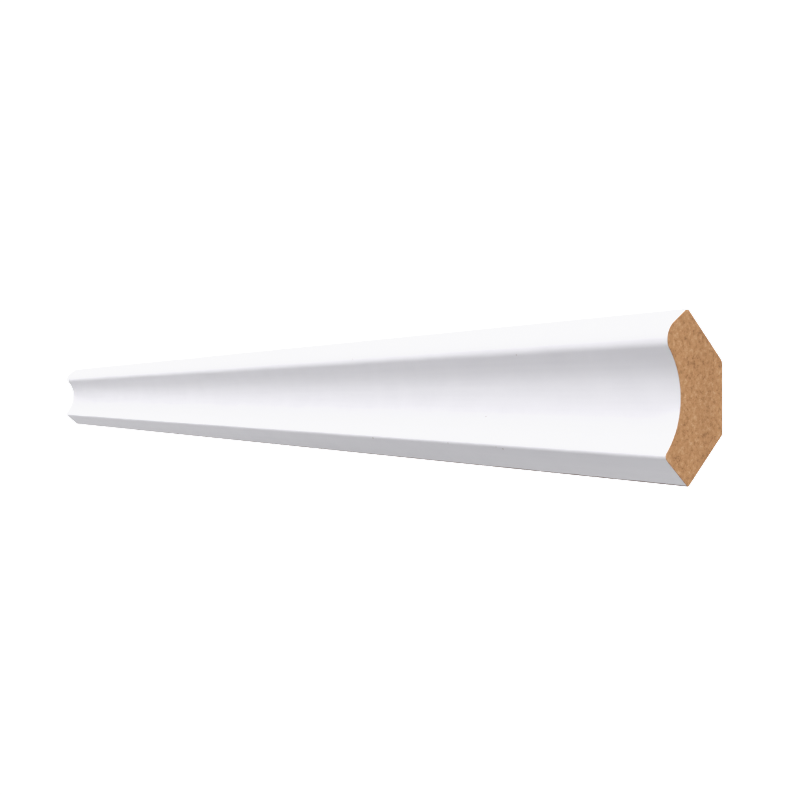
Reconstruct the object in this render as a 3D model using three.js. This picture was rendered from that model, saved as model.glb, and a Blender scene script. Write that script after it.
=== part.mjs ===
// Scotia moulding: a length of trim that covers the joint where a wall meets the ceiling.
// It is one strip of fibreboard, machined to its profile, coated white on the face and left raw
// behind and at its two square-cut ends.
//
// Millimetres, +Z up. X runs along the strip, +Y points into the wall and +Z into the ceiling.
// The origin is at the middle of the face that lies on the wall.

import * as THREE from 'three';

// The strip
const LENGTH = 370;
const LEG = 18.2; // how far each rounded tip reaches along the wall or the ceiling
const CORNER_TO_BACK = 5.5; // from the line where wall and ceiling meet to the flat back
const CORNER_TO_FRONT = 17.3; // from the same line to the narrow flat between upper lip and shoulder

// The hollow between the two lips
const COVE_RADIUS = 11.9;
const COVE_DEPTH = 2.73; // behind the narrow flat

// The round shoulder between the upper lip and the tip at the ceiling
const SHOULDER_RADIUS = 3.15;
const SHOULDER_TURN = 54; // degrees that it turns away from the narrow flat

// The flat chamfer between the lower lip and the tip at the wall
const CHAMFER_TURN = 47.8; // degrees away from the narrow flat's direction

// Softened edges
const CEILING_TIP_RADIUS = 0.7;
const WALL_TIP_RADIUS = 0.3;
const UPPER_LIP_RADIUS = 1.6;
const LOWER_LIP_RADIUS = 0.86;
const UPPER_BACK_RADIUS = 1.2;
const LOWER_BACK_RADIUS = 0.3;

const FACET_ERROR = 0.004; // the most that a facet leaves the true curve

// The coat's colour and sheen
const COAT_WHITE = 0xf6f6f7;
const COAT_ROUGHNESS = 0.45;

// The section is drawn on its own diagonal. Out is measured from the corner line towards the room,
// at 45 degrees to wall and ceiling alike. Across runs over the face, from the wall's side to the
// ceiling's side. An angle is measured from out, and turns towards across.
const TIP_ACROSS = LEG / Math.SQRT2;
const FULL_TURN = 360;
const HALF_TURN = 180;
const CEILING_SIDE = 1;
const WALL_SIDE = -1;
const FRONT_ANGLE = 0;
const CEILING_FACE_ANGLE = 135;
const WALL_FACE_ANGLE = 225;

const place = (out, across) => new THREE.Vector2(out, across);
const radians = THREE.MathUtils.degToRad;
const direction = (degrees) => place(Math.cos(radians(degrees)), Math.sin(radians(degrees)));
const angleTo = (from, to) => THREE.MathUtils.radToDeg(to.clone().sub(from).angle());

// The centre of the round on a tip, which also touches the fixing face behind it
function tipCentre(radius, side) {
  const across = TIP_ACROSS - radius;
  return place(across + radius * Math.SQRT2, across * side);
}

// The centre of the round between the flat back and a fixing face
function backEdgeCentre(radius, side) {
  const out = CORNER_TO_BACK + radius;
  return place(out, (out - radius * Math.SQRT2) * side);
}

// The line that touches a round, as its outward direction and its distance from the corner line
function tangent(centre, radius, degrees) {
  const outward = direction(degrees);
  return { outward, distance: centre.dot(outward) + radius };
}

// The centre of the shoulder, which touches the narrow flat and the straight run to the tip
function shoulderCentre(run) {
  const out = CORNER_TO_FRONT - SHOULDER_RADIUS;
  const left = run.distance - SHOULDER_RADIUS - out * run.outward.x;
  return place(out, left / run.outward.y);
}

// The centre of the upper lip's round, which touches the narrow flat and lies beside the hollow
function upperLipCentre(cove) {
  const out = CORNER_TO_FRONT - UPPER_LIP_RADIUS;
  const toCove = COVE_RADIUS + UPPER_LIP_RADIUS;
  return place(out, Math.sqrt(toCove ** 2 - (cove.x - out) ** 2));
}

// The centre of the lower lip's round, which touches the chamfer and lies beside the hollow
function lowerLipCentre(chamfer, cove) {
  const inward = chamfer.distance - LOWER_LIP_RADIUS - cove.dot(chamfer.outward);
  const along = Math.sqrt((COVE_RADIUS + LOWER_LIP_RADIUS) ** 2 - inward ** 2);
  const towardsTip = place(chamfer.outward.y, -chamfer.outward.x);
  return cove.clone().addScaledVector(chamfer.outward, inward).addScaledVector(towardsTip, along);
}

// Points on a round stretch with both its ends. A falling angle runs clockwise, as the hollow does.
function arc(centre, radius, fromDegrees, toDegrees) {
  const turn = radians(Math.abs(toDegrees - fromDegrees));
  const widestFacet = 2 * Math.acos(1 - FACET_ERROR / radius);
  const facets = Math.ceil(turn / widestFacet);
  const points = [];
  for (let i = 0; i <= facets; i += 1) {
    const degrees = THREE.MathUtils.lerp(fromDegrees, toDegrees, i / facets);
    points.push(direction(degrees).multiplyScalar(radius).add(centre));
  }
  return points;
}

const cove = place(CORNER_TO_FRONT - COVE_DEPTH + COVE_RADIUS, 0);
const ceilingTip = tipCentre(CEILING_TIP_RADIUS, CEILING_SIDE);
const wallTip = tipCentre(WALL_TIP_RADIUS, WALL_SIDE);
const upperBack = backEdgeCentre(UPPER_BACK_RADIUS, CEILING_SIDE);
const lowerBack = backEdgeCentre(LOWER_BACK_RADIUS, WALL_SIDE);
const shoulder = shoulderCentre(tangent(ceilingTip, CEILING_TIP_RADIUS, SHOULDER_TURN));
const upperLip = upperLipCentre(cove);
const lowerLip = lowerLipCentre(tangent(wallTip, WALL_TIP_RADIUS, -CHAMFER_TURN), cove);

// Where each lip's round meets the hollow
const upperLipToCove = angleTo(upperLip, cove) - FULL_TURN;
const lowerLipToCove = angleTo(lowerLip, cove);

// The outline runs from the upper lip over the shoulder to the ceiling, round the back to the wall,
// and up the chamfer and the hollow. Straight lines join the arcs.
const outline = new THREE.Shape([
  ...arc(upperLip, UPPER_LIP_RADIUS, upperLipToCove, FRONT_ANGLE).slice(1),
  ...arc(shoulder, SHOULDER_RADIUS, FRONT_ANGLE, SHOULDER_TURN),
  ...arc(ceilingTip, CEILING_TIP_RADIUS, SHOULDER_TURN, CEILING_FACE_ANGLE),
  ...arc(upperBack, UPPER_BACK_RADIUS, CEILING_FACE_ANGLE, HALF_TURN),
  ...arc(lowerBack, LOWER_BACK_RADIUS, HALF_TURN, WALL_FACE_ANGLE),
  ...arc(wallTip, WALL_TIP_RADIUS, WALL_FACE_ANGLE, FULL_TURN - CHAMFER_TURN),
  ...arc(lowerLip, LOWER_LIP_RADIUS, -CHAMFER_TURN, lowerLipToCove),
  ...arc(cove, COVE_RADIUS, HALF_TURN + lowerLipToCove, HALF_TURN + upperLipToCove).slice(1),
]);

const coat = new THREE.MeshStandardMaterial({
  color: COAT_WHITE,
  roughness: COAT_ROUGHNESS,
  metalness: 0,
});

const strip = new THREE.Mesh(
  new THREE.ExtrudeGeometry(outline, { depth: LENGTH, bevelEnabled: false }),
  coat,
);
strip.name = 'scotia_moulding';

// The drawing is turned so that its diagonal points out of the corner, down into the room.
const outOfCorner = new THREE.Vector3(0, -1, -1).normalize();
const acrossFace = new THREE.Vector3(0, -1, 1).normalize();
const alongStrip = new THREE.Vector3().crossVectors(outOfCorner, acrossFace);
const turned = new THREE.Matrix4().makeBasis(outOfCorner, acrossFace, alongStrip);
strip.setRotationFromMatrix(turned);

// The corner line lies above the origin by the distance down to the middle of the wall's face.
const downTheWall = place(1, WALL_SIDE).normalize();
const cornerHeight = (lowerBack.dot(downTheWall) + wallTip.dot(downTheWall)) / 2;
strip.position.set(0, 0, cornerHeight).addScaledVector(alongStrip, -LENGTH / 2);

const moulding = new THREE.Group();
moulding.add(strip);

export default moulding;
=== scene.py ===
"""Scotia moulding: a strip of fibreboard trim that covers the joint of a wall and a ceiling.

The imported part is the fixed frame. This script models the strip again with a finer surface, gives it
its white coat and its raw board, and sets up the studio: floor, lights and camera.
Everything is in metres: X runs along the strip, +Y points into the wall and +Z into the ceiling.
Only the patterns in the materials are in millimetres.
"""

import math
from collections import namedtuple

import bpy
from bpy.props import FloatProperty, FloatVectorProperty, IntProperty, PointerProperty
from mathutils import Matrix, Vector


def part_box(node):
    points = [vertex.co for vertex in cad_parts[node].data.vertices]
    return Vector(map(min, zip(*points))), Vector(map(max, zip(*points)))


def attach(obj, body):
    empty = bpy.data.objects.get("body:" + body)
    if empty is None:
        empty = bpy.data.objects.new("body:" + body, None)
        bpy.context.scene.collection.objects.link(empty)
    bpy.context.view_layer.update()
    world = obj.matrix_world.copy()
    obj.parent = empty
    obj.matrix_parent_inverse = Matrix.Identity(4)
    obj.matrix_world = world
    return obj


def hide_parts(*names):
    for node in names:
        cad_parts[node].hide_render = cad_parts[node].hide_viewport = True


bl_info = {
    "name": "Scotia moulding",
    "version": (1, 0, 0),
    "blender": (4, 5, 0),
    "location": "3D View > Sidebar > Moulding",
    "description": "Models a coated scotia moulding, its materials and its studio",
    "category": "Add Mesh",
}

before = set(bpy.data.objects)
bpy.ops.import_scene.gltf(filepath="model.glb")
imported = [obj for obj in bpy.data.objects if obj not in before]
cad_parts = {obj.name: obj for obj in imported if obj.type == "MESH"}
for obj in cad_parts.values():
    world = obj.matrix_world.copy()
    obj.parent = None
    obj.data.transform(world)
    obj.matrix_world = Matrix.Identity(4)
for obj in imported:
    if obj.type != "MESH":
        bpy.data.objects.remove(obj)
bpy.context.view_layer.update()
NODE = "scotia_moulding"
BODY = "root"

MM = 0.001
STRIP_LOW, STRIP_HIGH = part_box(NODE)
CORNER_HEIGHT = STRIP_HIGH.z  # of the ceiling above the middle of the face on the wall

# Directions in the room. Out leads from the corner line into the room, at 45 degrees to wall and
# ceiling alike, and across leads over the face, from the wall's side to the ceiling's side.
ALONG = Vector((1, 0, 0))
OUT = Vector((0, -1, -1)).normalized()
ACROSS = Vector((0, -1, 1)).normalized()

# The materials of the strip, in their order
COAT, SAWN, ARRIS, PLANED = range(4)
BEHIND = math.radians(50)  # a face that looks less than this from straight behind is planed

# Specks in the coat: along the strip, out from the corner line, across the face, radius, in mm
SPECKS = (
    (102.8, 17.57, -8.75, 0.28),
    (131.1, 17.62, -8.66, 0.18),
    (145.9, 17.59, -8.73, 0.15),
    (147.6, 17.37, -9.0, 0.25),
    (93.3, 17.2, 8.72, 0.22),
    (151.0, 17.16, 7.42, 0.18),
    (139.7, 15.08, -3.43, 0.18),
    (107.6, 16.9, 9.93, 0.2),
)

# Where the coat starts to run thin and where it is gone, in mm: Y at the wall and Z at the ceiling
WALL_THIN, WALL_BARE = -0.52, -0.38
CEILING_THIN, CEILING_BARE = 12.58, 12.72

COAT_IOR = 1.5
BOARD_IOR = 1.45
CUTTER_WAVE = 1.8  # mm between the low waves that the planing cutter left
MIST_BESIDE_TIPS = 10, 13  # mm from the middle of the back, where the mist of primer starts and is full

# Where the deeper brown in the sawn board fades in and out, in mm out from the corner line
BAND_BACK = 6.5, 8
BAND_FRONT = 11.5, 9.5

# The lamps: degrees round the strip from out towards across, degrees of swing along the strip,
# brightness, and length and width in metres. All of them stand equally far from the strip.
Softbox = namedtuple("Softbox", "name angle swing radiance length width")
SOFTBOXES = (
    Softbox("key", 60, 0, 9.8, 1.6, 0.14),
    Softbox("top", 87, 0, 6.2, 1.6, 0.28),
    Softbox("front", -15, 0, 3.1, 1.6, 0.14),
    Softbox("back", -120, 0, 1.1, 1.6, 0.28),
    Softbox("far_low", -60, -55, 0.66, 0.5, 0.5),
    Softbox("far_middle", -15, -55, 0.42, 0.5, 0.5),
    Softbox("far_high", 30, -55, 0.68, 0.5, 0.5),
    Softbox("end", 180, 80, 2.5, 0.5, 0.5),
)
LAMP_DISTANCE = 0.8
EVEN_LIGHT = 0.27  # the brightness of the even light from all round

# The bright part of floor and backdrop, by the cosine of the angle from the way the camera looks
GLOW_ENDS, GLOW_FULL = 0.6, 0.84
GLOW_POWER = 3  # the higher, the softer it ends

# How the picture's tones end towards white: the light on the part, in parts of 2, and what it shows
# as. The brightest faces stop a little short of the white ground. Their blue comes on a little sooner,
# which leaves them a trace cool.
WHITE_LEVEL = 2
TONES = ((0.46, 0.92), (0.5, 0.933), (0.6, 0.945), (0.9, 0.954))
BLUE_TONES = ((0.46, 0.46), (0.5, 0.68), (0.6, 0.91), (0.9, 0.92))
ALL_COLOURS, BLUE = 3, 2  # the numbers of their curves

# The camera stands before the near end and looks along the strip from below. Its picture is level
# with the strip's diagonal.
LENS = 42.29
SENSOR = 36
VIEW_SWING = 32.02  # degrees between the way it looks and the strip
PICTURE = 795  # pixels
SHIFT_UP = -0.9 / PICTURE  # which is 0.9 pixels down
NEAR_POINT = (17.5 * MM, 0)  # of the section, at the near end
NEAR_POINT_RIGHT = 38.31 * MM
NEAR_POINT_AHEAD = 132.87 * MM
NEAR_POINT_DOWN = 0.216 * MM
NEAREST_SEEN = 10 * MM
FARTHEST_SEEN = 20

Arc = namedtuple("Arc", "centre radius first last")


def linear(code):
    """The linear colour of an sRGB hex code, by the standard's own formula, with its alpha."""
    channels = [int(code[i : i + 2], 16) / 255 for i in (1, 3, 5)]
    return [c / 12.92 if c <= 0.04045 else ((c + 0.055) / 1.055) ** 2.4 for c in channels] + [1]


def in_room(x, point):
    """The place in the room of a point (out, across) of the section, at x along the strip."""
    corner = Vector((x, 0, CORNER_HEIGHT))
    return corner + point[0] * OUT + point[1] * ACROSS


def distance_prop(name, description, default):
    """A length that a user may change."""
    return FloatProperty(
        name=name, description=description, default=default, unit="LENGTH", subtype="DISTANCE", min=0
    )


def angle_prop(name, description, degrees):
    """An angle that a user may change."""
    return FloatProperty(
        name=name, description=description, default=math.radians(degrees), unit="ROTATION", subtype="ANGLE"
    )


def colour_prop(name, description, code):
    """A colour that a user may change."""
    return FloatVectorProperty(
        name=name, description=description, default=linear(code), size=4, subtype="COLOR", min=0, max=1
    )


class StripSizes(bpy.types.PropertyGroup):
    """The sizes of the strip's section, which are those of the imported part"""

    leg: distance_prop("Leg", "How far each tip reaches along the wall or the ceiling", 18.2 * MM)
    back: distance_prop("Back", "From the corner of wall and ceiling to the flat back", 5.5 * MM)
    front: distance_prop("Front", "From the corner of wall and ceiling to the narrow flat", 17.3 * MM)
    cove_radius: distance_prop("Cove radius", "Radius of the hollow", 11.9 * MM)
    cove_depth: distance_prop("Cove depth", "Depth of the hollow behind the narrow flat", 2.73 * MM)
    shoulder_radius: distance_prop("Shoulder radius", "Radius of the round shoulder", 3.15 * MM)
    shoulder_turn: angle_prop("Shoulder turn", "How far the shoulder turns from the narrow flat", 54)
    chamfer_turn: angle_prop("Chamfer turn", "How far the chamfer turns from the narrow flat", 47.8)
    ceiling_tip: distance_prop("Ceiling tip", "Radius of the tip at the ceiling", 0.7 * MM)
    wall_tip: distance_prop("Wall tip", "Radius of the tip at the wall", 0.3 * MM)
    upper_lip: distance_prop("Upper lip", "Radius of the upper lip", 1.6 * MM)
    lower_lip: distance_prop("Lower lip", "Radius of the lower lip", 0.86 * MM)
    upper_back: distance_prop("Upper back edge", "Radius of the back edge at the ceiling", 1.2 * MM)
    lower_back: distance_prop("Lower back edge", "Radius of the back edge at the wall", 0.3 * MM)
    facet: distance_prop("Facet", "Widest facet of a round", 0.25 * MM)
    stations: IntProperty(name="Stations", description="Cuts along the strip", default=147, min=0)
    sawn_arris: distance_prop("Sawn arris", "Width of the arris that the saw broke", 0.07 * MM)


class FinishColours(bpy.types.PropertyGroup):
    """The colours of the strip's surfaces"""

    coat: colour_prop("Coat", "White primer on the face", "#f4f3f8")
    coat_dull: colour_prop("Dull coat", "Where the primer dried a little greyer", "#e9e8ee")
    dust: colour_prop("Dust", "Specks that stuck in the primer", "#a89c92")
    bare: colour_prop("Bare edge", "Board that shows along the tips", "#86706a")
    board: colour_prop("Sawn board", "Fibreboard as it was sawn", "#bd8c5f")
    fibre_light: colour_prop("Light fibre", "Pale fibres in the board", "#d4ac84")
    fibre_dark: colour_prop("Dark fibre", "Dark fibres in the board", "#8a6140")
    arris: colour_prop("Sawn arris", "Board crushed by the saw", "#b98f6b")
    planed: colour_prop("Planed board", "Fibreboard as it was planed behind", "#c39c77")


class StudioSettings(bpy.types.PropertyGroup):
    """Floor and backdrop"""

    floor_drop: distance_prop("Floor drop", "Height of the part above the floor", 0.9)
    floor_width: distance_prop("Floor width", "Width of the square floor", 8)
    pale: FloatProperty(name="Pale", description="Brightness of floor and backdrop", default=0.8, min=0)
    bright: FloatProperty(name="Bright", description="Their brightness behind the part", default=2.1, min=0)


def turned(angle):
    """The direction at an angle from out, turning towards across."""
    return Vector((math.cos(angle), math.sin(angle)))


def angle_to(start, end):
    """The angle from out of the way from one point to another."""
    way = end - start
    return math.atan2(way.y, way.x)


def touching_line(centre, radius, angle):
    """The line that touches a round, as its outward direction and its distance from the corner."""
    outward = turned(angle)
    return outward, centre.dot(outward) + radius


def tip_centre(sizes, radius, side):
    """The centre of the round on a tip, which also touches the fixing face behind it."""
    across = sizes.leg / math.sqrt(2) - radius
    return Vector((across + radius * math.sqrt(2), across * side))


def back_centre(sizes, radius, side):
    """The centre of the round between the flat back and a fixing face."""
    out = sizes.back + radius
    return Vector((out, (out - radius * math.sqrt(2)) * side))


def shoulder_centre(sizes, ceiling_tip):
    """The centre of the shoulder, which touches the narrow flat and the run to the tip."""
    outward, distance = touching_line(ceiling_tip, sizes.ceiling_tip, sizes.shoulder_turn)
    out = sizes.front - sizes.shoulder_radius
    return Vector((out, (distance - sizes.shoulder_radius - out * outward.x) / outward.y))


def upper_lip_centre(sizes, cove):
    """The centre of the upper lip's round, which touches the narrow flat and lies beside the hollow."""
    out = sizes.front - sizes.upper_lip
    to_cove = sizes.cove_radius + sizes.upper_lip
    return Vector((out, math.sqrt(to_cove**2 - (cove.x - out) ** 2)))


def lower_lip_centre(sizes, wall_tip, cove):
    """The centre of the lower lip's round, which touches the chamfer and lies beside the hollow."""
    outward, distance = touching_line(wall_tip, sizes.wall_tip, -sizes.chamfer_turn)
    inward = distance - sizes.lower_lip - cove.dot(outward)
    along = math.sqrt((sizes.cove_radius + sizes.lower_lip) ** 2 - inward**2)
    return cove + outward * inward - outward.orthogonal() * along


def section(sizes):
    """The rounds of the section in their order. Straight lines join them."""
    quarter, half, full = math.pi / 4, math.pi, 2 * math.pi
    cove = Vector((sizes.front - sizes.cove_depth + sizes.cove_radius, 0))
    ceiling_tip = tip_centre(sizes, sizes.ceiling_tip, 1)
    wall_tip = tip_centre(sizes, sizes.wall_tip, -1)
    upper_back = back_centre(sizes, sizes.upper_back, 1)
    lower_back = back_centre(sizes, sizes.lower_back, -1)
    shoulder = shoulder_centre(sizes, ceiling_tip)
    upper_lip = upper_lip_centre(sizes, cove)
    lower_lip = lower_lip_centre(sizes, wall_tip, cove)
    upper_turn = angle_to(upper_lip, cove)
    lower_turn = angle_to(lower_lip, cove)
    return [
        Arc(upper_lip, sizes.upper_lip, upper_turn, 0),
        Arc(shoulder, sizes.shoulder_radius, 0, sizes.shoulder_turn),
        Arc(ceiling_tip, sizes.ceiling_tip, sizes.shoulder_turn, 3 * quarter),
        Arc(upper_back, sizes.upper_back, 3 * quarter, half),
        Arc(lower_back, sizes.lower_back, half, 5 * quarter),
        Arc(wall_tip, sizes.wall_tip, 5 * quarter, full - sizes.chamfer_turn),
        Arc(lower_lip, sizes.lower_lip, -sizes.chamfer_turn, lower_turn),
        Arc(cove, sizes.cove_radius, half + lower_turn, half + upper_turn),
    ]


def point_on(arc, angle):
    """The point of a round at an angle."""
    return arc.centre + turned(angle) * arc.radius


def deselect_all():
    """Starts an operator's work with nothing selected."""
    if bpy.context.mode != "OBJECT":
        bpy.ops.object.mode_set(mode="OBJECT")
    bpy.ops.object.select_all(action="DESELECT")


def select_edges(wanted):
    """Selects the edges of the mesh in edit mode that a test picks."""
    mesh = bpy.context.object.data
    bpy.ops.mesh.select_all(action="DESELECT")
    bpy.ops.mesh.select_mode(type="EDGE")
    bpy.ops.object.mode_set(mode="OBJECT")
    for edge in mesh.edges:
        edge.select = wanted(mesh, edge)
    bpy.ops.object.mode_set(mode="EDIT")


def runs_along(mesh, edge):
    """Whether an edge runs along the strip."""
    first, second = (mesh.vertices[i].co for i in edge.vertices)
    return abs(second.x - first.x) > 0.5 * (STRIP_HIGH.x - STRIP_LOW.x)


def draw_section(sizes, x):
    """Draws the outline at one end: a point is spun round each arc and drawn straight on to the next."""
    arcs = section(sizes)
    touching = 1e-7  # points nearer than this are one
    start = in_room(x, point_on(arcs[0], arcs[0].first))
    bpy.ops.mesh.primitive_plane_add(size=sizes.facet, location=start)
    bpy.ops.object.mode_set(mode="EDIT")
    bpy.ops.mesh.select_mode(type="VERT")
    bpy.ops.mesh.merge(type="CENTER")
    for arc, following in zip(arcs, arcs[1:] + arcs[:1]):
        turn = arc.last - arc.first
        steps = max(2, math.ceil(abs(turn) * arc.radius / sizes.facet))
        bpy.ops.mesh.spin(
            steps=steps, angle=turn, center=in_room(x, arc.centre), axis=ALONG, use_auto_merge=False
        )
        gap = in_room(x, point_on(following, following.first)) - in_room(x, point_on(arc, arc.last))
        if gap.length > touching:
            bpy.ops.mesh.extrude_region_move(TRANSFORM_OT_translate={"value": gap})
    bpy.ops.mesh.select_all(action="SELECT")
    bpy.ops.mesh.remove_doubles(threshold=touching)
    bpy.ops.mesh.edge_face_add()


def at_an_end(mesh, edge):
    """Whether an edge lies on the outline of one of the sawn ends."""
    first, second = (mesh.vertices[i].co.x for i in edge.vertices)
    half = (STRIP_HIGH.x - STRIP_LOW.x) / 2
    near_enough = 0.001 * MM
    return first == second and abs(abs(first) - half) < near_enough


def surface_of(normal):
    """Which of the materials a face takes, from the way it looks."""
    least_of_arris, least_of_end = 0.3, 0.9
    if abs(normal.x) > least_of_end:
        return SAWN
    if abs(normal.x) > least_of_arris:
        return ARRIS
    return PLANED if -normal.dot(OUT) > math.cos(BEHIND) else COAT


class MOULDING_OT_strip(bpy.types.Operator):
    """Model the strip: its section, its length, its square ends and its surfaces"""

    bl_idname = "moulding.strip"
    bl_label = "Strip"

    def execute(self, context):
        sizes = context.scene.strip_sizes
        colours = context.scene.finish_colours
        deselect_all()
        draw_section(sizes, STRIP_LOW.x)
        bpy.ops.mesh.extrude_region_move(
            TRANSFORM_OT_translate={"value": ALONG * (STRIP_HIGH.x - STRIP_LOW.x)}
        )
        bpy.ops.mesh.select_all(action="SELECT")
        bpy.ops.mesh.normals_make_consistent(inside=False)
        select_edges(runs_along)
        bpy.ops.mesh.subdivide_edgering(number_cuts=sizes.stations, interpolation="LINEAR", smoothness=0)
        bpy.ops.object.mode_set(mode="OBJECT")
        strip = context.object
        bpy.ops.object.transform_apply(location=True, rotation=True, scale=True)
        strip.name = strip.data.name = "coated_scotia_strip"
        bpy.ops.object.mode_set(mode="EDIT")
        select_edges(at_an_end)
        bpy.ops.mesh.bevel(offset=sizes.sawn_arris, segments=1, affect="EDGES")
        bpy.ops.object.mode_set(mode="OBJECT")
        bpy.ops.object.shade_smooth_by_angle(angle=math.radians(30))
        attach(strip, BODY)
        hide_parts(NODE)
        for surface in (white_coat, sawn_board, crushed_arris, planed_board):
            strip.data.materials.append(surface(colours))
        for face in strip.data.polygons:
            face.material_index = surface_of(face.normal)
        return {"FINISHED"}


def new_material(name):
    """A new material, its node tree and its principled shader."""
    material = bpy.data.materials.new(name)
    material.use_nodes = True
    return material, material.node_tree, material.node_tree.nodes["Principled BSDF"]


def set_surface(tree, shader, colour, roughness, ior):
    """Gives a shader its colour and roughness from patterns. None of the strip's surfaces is metal."""
    tree.links.new(colour, shader.inputs["Base Color"])
    tree.links.new(roughness, shader.inputs["Roughness"])
    shader.inputs["IOR"].default_value = ior
    shader.inputs["Metallic"].default_value = 0


def add_node(tree, kind, settings=None, links=None):
    """Adds a node with its settings and the links into its sockets, and gives it back."""
    node = tree.nodes.new(kind)
    for name, value in (settings or {}).items():
        if isinstance(name, str) and hasattr(node, name):
            setattr(node, name, value)
        else:
            node.inputs[name].default_value = value
    for socket, source in (links or {}).items():
        tree.links.new(source, node.inputs[socket])
    return node


def sort_terms(terms):
    """Splits the terms of a node into plain values and links, each by the number of its socket."""
    values = {i: term for i, term in terms.items() if not isinstance(term, bpy.types.NodeSocket)}
    links = {i: term for i, term in terms.items() if isinstance(term, bpy.types.NodeSocket)}
    return values, links


def calc(tree, operation, *terms):
    """One step of arithmetic on values."""
    values, links = sort_terms(dict(enumerate(terms)))
    return add_node(tree, "ShaderNodeMath", {"operation": operation, **values}, links).outputs[0]


def vary(tree, pattern, low, high):
    """A value that goes from low to high while a pattern goes from 0 to 1."""
    return calc(tree, "MULTIPLY_ADD", pattern, high - low, low)


def mixed(tree, first, second, share):
    """Two patterns in one, with the share that the first has in it."""
    return calc(tree, "MULTIPLY_ADD", first, share, calc(tree, "MULTIPLY", second, 1 - share))


def blend(tree, factor, first, second):
    """A colour between two colours."""
    values, links = sort_terms({0: factor, 6: first, 7: second})
    return add_node(tree, "ShaderNodeMix", {"data_type": "RGBA", **values}, links).outputs[2]


def fade(tree, value, start, end):
    """Rises smoothly from 0 to 1 while a value goes from start to end."""
    settings = {"interpolation_type": "SMOOTHSTEP", "From Min": start, "From Max": end}
    return add_node(tree, "ShaderNodeMapRange", settings, {"Value": value}).outputs["Result"]


def place_in_mm(tree):
    """The place on the strip, in millimetres."""
    coordinates = add_node(tree, "ShaderNodeTexCoord").outputs["Object"]
    settings = {"operation": "SCALE", "Scale": 1 / MM}
    return add_node(tree, "ShaderNodeVectorMath", settings, {0: coordinates}).outputs["Vector"]


def noise(tree, place, size, stretch=1, detail=2):
    """Noise from 0 to 1 with patches of a size in millimetres, stretched along the strip."""
    settings = {"operation": "DIVIDE", 1: (size * stretch, size, size)}
    scaled = add_node(tree, "ShaderNodeVectorMath", settings, {0: place}).outputs["Vector"]
    texture = add_node(tree, "ShaderNodeTexNoise", {"Scale": 1, "Detail": detail}, {"Vector": scaled})
    return texture.outputs[0]


def distance_from(tree, place, point):
    """How far the place is from a point, in millimetres."""
    settings = {"operation": "DISTANCE", 1: point}
    return add_node(tree, "ShaderNodeVectorMath", settings, {0: place}).outputs["Value"]


def measure_along(tree, place, direction):
    """How far the place lies along a direction from the corner line, in millimetres."""
    dot = add_node(tree, "ShaderNodeVectorMath", {"operation": "DOT_PRODUCT", 1: direction}, {0: place})
    return calc(tree, "SUBTRACT", dot.outputs["Value"], CORNER_HEIGHT * direction.z / MM)


def add_relief(tree, shader, *patterns):
    """Bumps the surface by patterns, each with its height in millimetres."""
    total = 0
    for pattern, height in patterns:
        total = calc(tree, "MULTIPLY_ADD", pattern, height, total)
    bump = add_node(tree, "ShaderNodeBump", {"Strength": 1, "Distance": MM}, {"Height": total})
    tree.links.new(bump.outputs[0], shader.inputs["Normal"])


def white_coat(colours):
    """White primer, sprayed on the machined face and left as it dried.

    Its soft skin gives a dull even sheen. The cutter's marks show through as faint streaks along the
    strip, and the spray left a fine orange peel. Along both tips it ran thin and the board shows.
    """
    material, tree, shader = new_material("white primer coat")
    place = place_in_mm(tree)
    axes = add_node(tree, "ShaderNodeSeparateXYZ", None, {0: place}).outputs
    patches = noise(tree, place, size=7)
    streaks = noise(tree, place, size=0.8, stretch=40)
    peel = noise(tree, place, size=1.6)
    grain = noise(tree, place, size=0.3)
    specks = 0
    for x, out, across, radius in SPECKS:
        centre = in_room(x * MM, (out * MM, across * MM)) / MM
        core = 0.4 * radius
        speck = fade(tree, distance_from(tree, place, centre), radius, core)
        specks = calc(tree, "MAXIMUM", speck, specks)
    waver = vary(tree, noise(tree, place, size=5, detail=4), -0.25, 0.25)
    wall_side = fade(tree, calc(tree, "ADD", axes["Y"], waver), WALL_THIN, WALL_BARE)
    ceiling_side = fade(tree, calc(tree, "ADD", axes["Z"], waver), CEILING_THIN, CEILING_BARE)
    bare = calc(tree, "MAXIMUM", wall_side, calc(tree, "MULTIPLY", ceiling_side, 0.5))
    colour = blend(tree, calc(tree, "MULTIPLY", patches, streaks), colours.coat, colours.coat_dull)
    colour = blend(tree, calc(tree, "MULTIPLY", specks, 0.7), colour, colours.dust)
    colour = blend(tree, bare, colour, colours.bare)
    roughness = calc(tree, "MULTIPLY_ADD", bare, 0.3, vary(tree, grain, 0.46, 0.54))
    set_surface(tree, shader, colour, roughness, COAT_IOR)
    add_relief(tree, shader, (peel, 0.012), (grain, 0.002), (streaks, 0.004), (specks, 0.03))
    return material


def fibres(tree, place, colours, base):
    """The colours of the board's fibres, and their height: pale and dark flecks on the base colour.

    A single fibre is too fine to show, so the flecks are drawn as coarse as they show in a picture.
    """
    coarse = noise(tree, place, size=0.66)
    fine = noise(tree, place, size=0.2, detail=1)
    fleck = mixed(tree, fine, coarse, share=0.4)
    colour = blend(tree, fade(tree, fleck, 0.5, 0.72), base, colours.fibre_light)
    colour = blend(tree, fade(tree, fleck, 0.5, 0.28), colour, colours.fibre_dark)
    return colour, fleck


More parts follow.
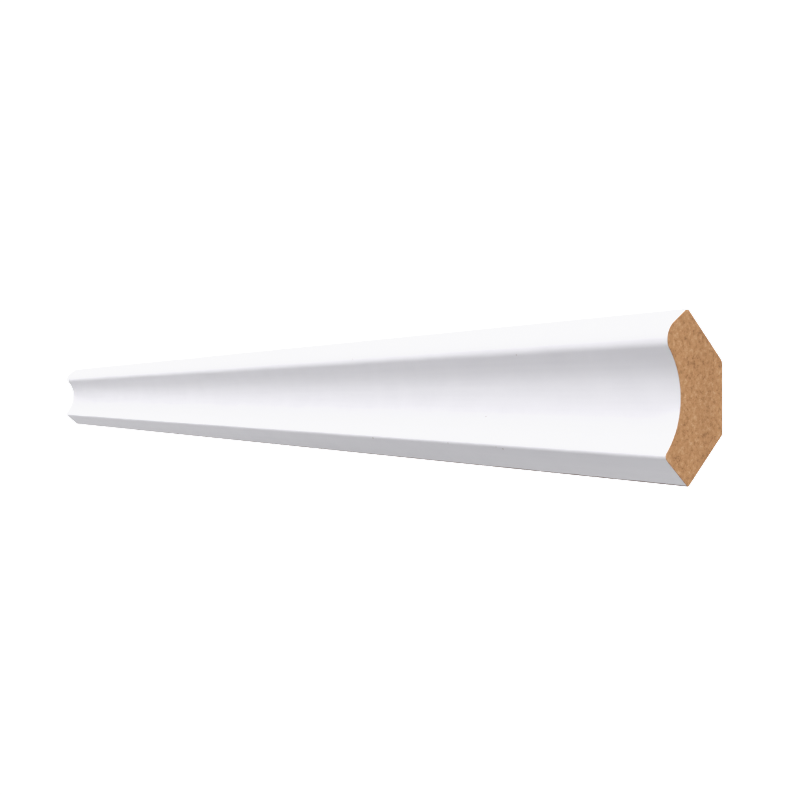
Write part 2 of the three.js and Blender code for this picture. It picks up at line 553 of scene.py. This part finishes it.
def sawn_board(colours):
    """Fibreboard as the saw left it: torn ends of short fibres, dull and speckled all over.

    The board was pressed in layers, so its brown is a little deeper in a wavering band between the
    back and the hollow.
    """
    material, tree, shader = new_material("sawn board")
    place = place_in_mm(tree)
    colour, fleck = fibres(tree, place, colours, colours.board)
    waver = vary(tree, noise(tree, place, size=3), -0.8, 0.8)
    depth = calc(tree, "ADD", measure_along(tree, place, OUT), waver)
    band = calc(tree, "MULTIPLY", fade(tree, depth, *BAND_BACK), fade(tree, depth, *BAND_FRONT))
    clouds = noise(tree, place, size=4)
    deeper = calc(tree, "MULTIPLY_ADD", clouds, 0.12, calc(tree, "MULTIPLY", band, 0.08))
    colour = blend(tree, deeper, colour, colours.fibre_dark)
    set_surface(tree, shader, colour, vary(tree, fleck, 0.95, 0.75), BOARD_IOR)
    add_relief(tree, shader, (fleck, 0.05))
    return material


def crushed_arris(colours):
    """The arris round each end, where the saw crushed the fibres: a little greyer, dull and uneven."""
    material, tree, shader = new_material("crushed board arris")
    place = place_in_mm(tree)
    colour, fleck = fibres(tree, place, colours, colours.arris)
    set_surface(tree, shader, colour, vary(tree, fleck, 0.95, 0.85), BOARD_IOR)
    add_relief(tree, shader, (fleck, 0.05))
    return material


def planed_board(colours):
    """The back of the strip: board planed by a turning cutter and left raw.

    It is smooth and pale with fine fibres. The cutter left low waves across it, and a mist of primer
    settled on it beside both tips.
    """
    material, tree, shader = new_material("planed raw board")
    place = place_in_mm(tree)
    axes = add_node(tree, "ShaderNodeSeparateXYZ", None, {0: place}).outputs
    long_fibres = noise(tree, place, size=0.22, stretch=4, detail=1)
    clouds = noise(tree, place, size=6)
    fleck = mixed(tree, clouds, long_fibres, share=0.3)
    colour = blend(tree, fade(tree, fleck, 0.55, 0.75), colours.planed, colours.fibre_light)
    dark = calc(tree, "MULTIPLY", fade(tree, fleck, 0.5, 0.3), 0.6)
    colour = blend(tree, dark, colour, colours.fibre_dark)
    sideways = calc(tree, "ABSOLUTE", measure_along(tree, place, ACROSS))
    near_tip = fade(tree, sideways, *MIST_BESIDE_TIPS)
    mist = calc(tree, "MULTIPLY_ADD", near_tip, 0.3, noise(tree, place, size=0.7, stretch=2, detail=4))
    drops = calc(tree, "MULTIPLY", fade(tree, mist, 0.66, 0.95), 0.75)
    colour = blend(tree, drops, colour, colours.coat)
    set_surface(tree, shader, colour, vary(tree, fleck, 0.68, 0.83), BOARD_IOR)
    wave = calc(tree, "SINE", calc(tree, "MULTIPLY", axes["X"], 2 * math.pi / CUTTER_WAVE))
    add_relief(tree, shader, (fleck, 0.012), (wave, 0.0015), (drops, 0.01))
    return material


class MOULDING_OT_stage(bpy.types.Operator):
    """Set up the floor, the lights and the camera"""

    bl_idname = "moulding.stage"
    bl_label = "Studio"

    def execute(self, context):
        add_floor(context.scene.studio_settings)
        add_backdrop(context.scene.studio_settings)
        for softbox in SOFTBOXES:
            add_softbox(softbox)
        set_tones()
        add_camera()
        return {"FINISHED"}


def sweep_light(tree, place, settings):
    """The brightness of floor and backdrop, bright behind the part and pale all round."""
    towards = add_node(tree, "ShaderNodeVectorMath", {"operation": "NORMALIZE"}, {0: place})
    ahead = {"operation": "DOT_PRODUCT", 1: looking()[0]}
    dot = add_node(tree, "ShaderNodeVectorMath", ahead, {0: towards.outputs["Vector"]})
    rise = calc(tree, "POWER", fade(tree, dot.outputs["Value"], GLOW_ENDS, GLOW_FULL), GLOW_POWER)
    return vary(tree, rise, settings.pale, settings.bright)


def add_floor(settings):
    """A wide pale floor under the part. It glows by itself, so that no lamp leaves a patch on it."""
    deselect_all()
    drop = STRIP_LOW.z - settings.floor_drop
    bpy.ops.mesh.primitive_plane_add(size=settings.floor_width, location=(0, 0, drop))
    floor = bpy.context.object
    bpy.ops.object.transform_apply(location=True, rotation=True, scale=True)
    floor.name = "studio_floor"
    material, tree, shader = new_material("matt floor")
    coordinates = add_node(tree, "ShaderNodeTexCoord").outputs["Object"]
    shader.inputs["Base Color"].default_value = linear("#000000")
    shader.inputs["Roughness"].default_value = 1
    shader.inputs["Emission Color"].default_value = linear("#ffffff")
    tree.links.new(sweep_light(tree, coordinates, settings), shader.inputs["Emission Strength"])
    floor.data.materials.append(material)
    floor.visible_diffuse = False
    floor.visible_glossy = False
    floor.visible_shadow = False


def add_backdrop(settings):
    """The world: a dim even light on the part, and the backdrop that is seen behind it."""
    world = bpy.data.worlds.new("studio")
    world.use_nodes = True
    bpy.context.scene.world = world
    tree = world.node_tree
    even = tree.nodes["Background"]
    even.inputs["Color"].default_value = linear("#ffffff")
    even.inputs["Strength"].default_value = EVEN_LIGHT
    backdrop = add_node(tree, "ShaderNodeBackground", {"Color": linear("#ffffff")})
    directions = add_node(tree, "ShaderNodeTexCoord").outputs["Object"]
    tree.links.new(sweep_light(tree, directions, settings), backdrop.inputs["Strength"])
    path = add_node(tree, "ShaderNodeLightPath")
    mix = add_node(
        tree, "ShaderNodeMixShader", None,
        {0: path.outputs["Is Camera Ray"], 1: even.outputs[0], 2: backdrop.outputs[0]},
    )
    tree.links.new(mix.outputs[0], tree.nodes["World Output"].inputs["Surface"])


def add_softbox(box):
    """A softbox that looks at the strip and that the camera doesn't see."""
    around = turned(math.radians(box.angle))
    swing = math.radians(box.swing)
    towards = (around.x * OUT + around.y * ACROSS) * math.cos(swing) + ALONG * math.sin(swing)
    side = ALONG if box.swing == 0 else towards.cross(ALONG).normalized()
    light = bpy.data.lights.new(box.name, "AREA")
    light.shape = "RECTANGLE"
    light.size, light.size_y = box.length, box.width
    light.energy = box.radiance * math.pi * box.length * box.width
    lamp = bpy.data.objects.new(box.name, light)
    turn = Matrix((side, towards.cross(side), towards)).transposed()
    lamp.matrix_world = Matrix.Translation(towards * LAMP_DISTANCE) @ turn.to_4x4()
    lamp.visible_camera = False
    bpy.context.scene.collection.objects.link(lamp)


def set_tones():
    """Rounds the tones off towards white, as in the photo."""
    view = bpy.context.scene.view_settings
    view.view_transform = "Standard"
    view.use_curve_mapping = True
    mapping = view.curve_mapping
    mapping.white_level = (WHITE_LEVEL, WHITE_LEVEL, WHITE_LEVEL)
    for number, tones in ((ALL_COLOURS, TONES), (BLUE, BLUE_TONES)):
        curve = mapping.curves[number]
        for light, shown in tones:
            curve.points.new(light, shown)
        for point in curve.points:
            point.handle_type = "VECTOR"
    mapping.update()


def looking():
    """The directions ahead, right and up of the camera."""
    swing = math.radians(VIEW_SWING)
    ahead = -math.cos(swing) * ALONG - math.sin(swing) * OUT
    right = math.sin(swing) * ALONG - math.cos(swing) * OUT
    return ahead, right, ACROSS


def add_camera():
    """The camera, placed from where it sees the near end."""
    ahead, right, up = looking()
    near = in_room(STRIP_HIGH.x, NEAR_POINT)
    place = near - NEAR_POINT_RIGHT * right - NEAR_POINT_AHEAD * ahead + NEAR_POINT_DOWN * up
    data = bpy.data.cameras.new("camera")
    data.lens = LENS
    data.sensor_width = SENSOR
    data.shift_y = SHIFT_UP
    data.clip_start = NEAREST_SEEN
    data.clip_end = FARTHEST_SEEN
    camera = bpy.data.objects.new("camera", data)
    turn = Matrix((right, up, -ahead)).transposed()
    camera.matrix_world = Matrix.Translation(place) @ turn.to_4x4()
    bpy.context.scene.collection.objects.link(camera)
    bpy.context.scene.camera = camera


class MOULDING_PT_panel(bpy.types.Panel):
    """Lists the pieces of the moulding and its studio"""

    bl_label = "Moulding"
    bl_idname = "MOULDING_PT_panel"
    bl_space_type = "VIEW_3D"
    bl_region_type = "UI"
    bl_category = "Moulding"

    def draw(self, context):
        for operator in OPERATORS:
            self.layout.operator(operator.bl_idname)


OPERATORS = (MOULDING_OT_strip, MOULDING_OT_stage)
CLASSES = (StripSizes, FinishColours, StudioSettings, *OPERATORS, MOULDING_PT_panel)


def register():
    """Registers the classes and the settings."""
    for cls in CLASSES:
        bpy.utils.register_class(cls)
    bpy.types.Scene.strip_sizes = PointerProperty(type=StripSizes)
    bpy.types.Scene.finish_colours = PointerProperty(type=FinishColours)
    bpy.types.Scene.studio_settings = PointerProperty(type=StudioSettings)


def unregister():
    """Takes the settings and the classes away again."""
    del bpy.types.Scene.studio_settings
    del bpy.types.Scene.finish_colours
    del bpy.types.Scene.strip_sizes
    for cls in reversed(CLASSES):
        bpy.utils.unregister_class(cls)


def main():
    """Makes the piece and its studio."""
    register()
    bpy.ops.moulding.strip()
    bpy.ops.moulding.stage()


if __name__ == "__main__":
    main()
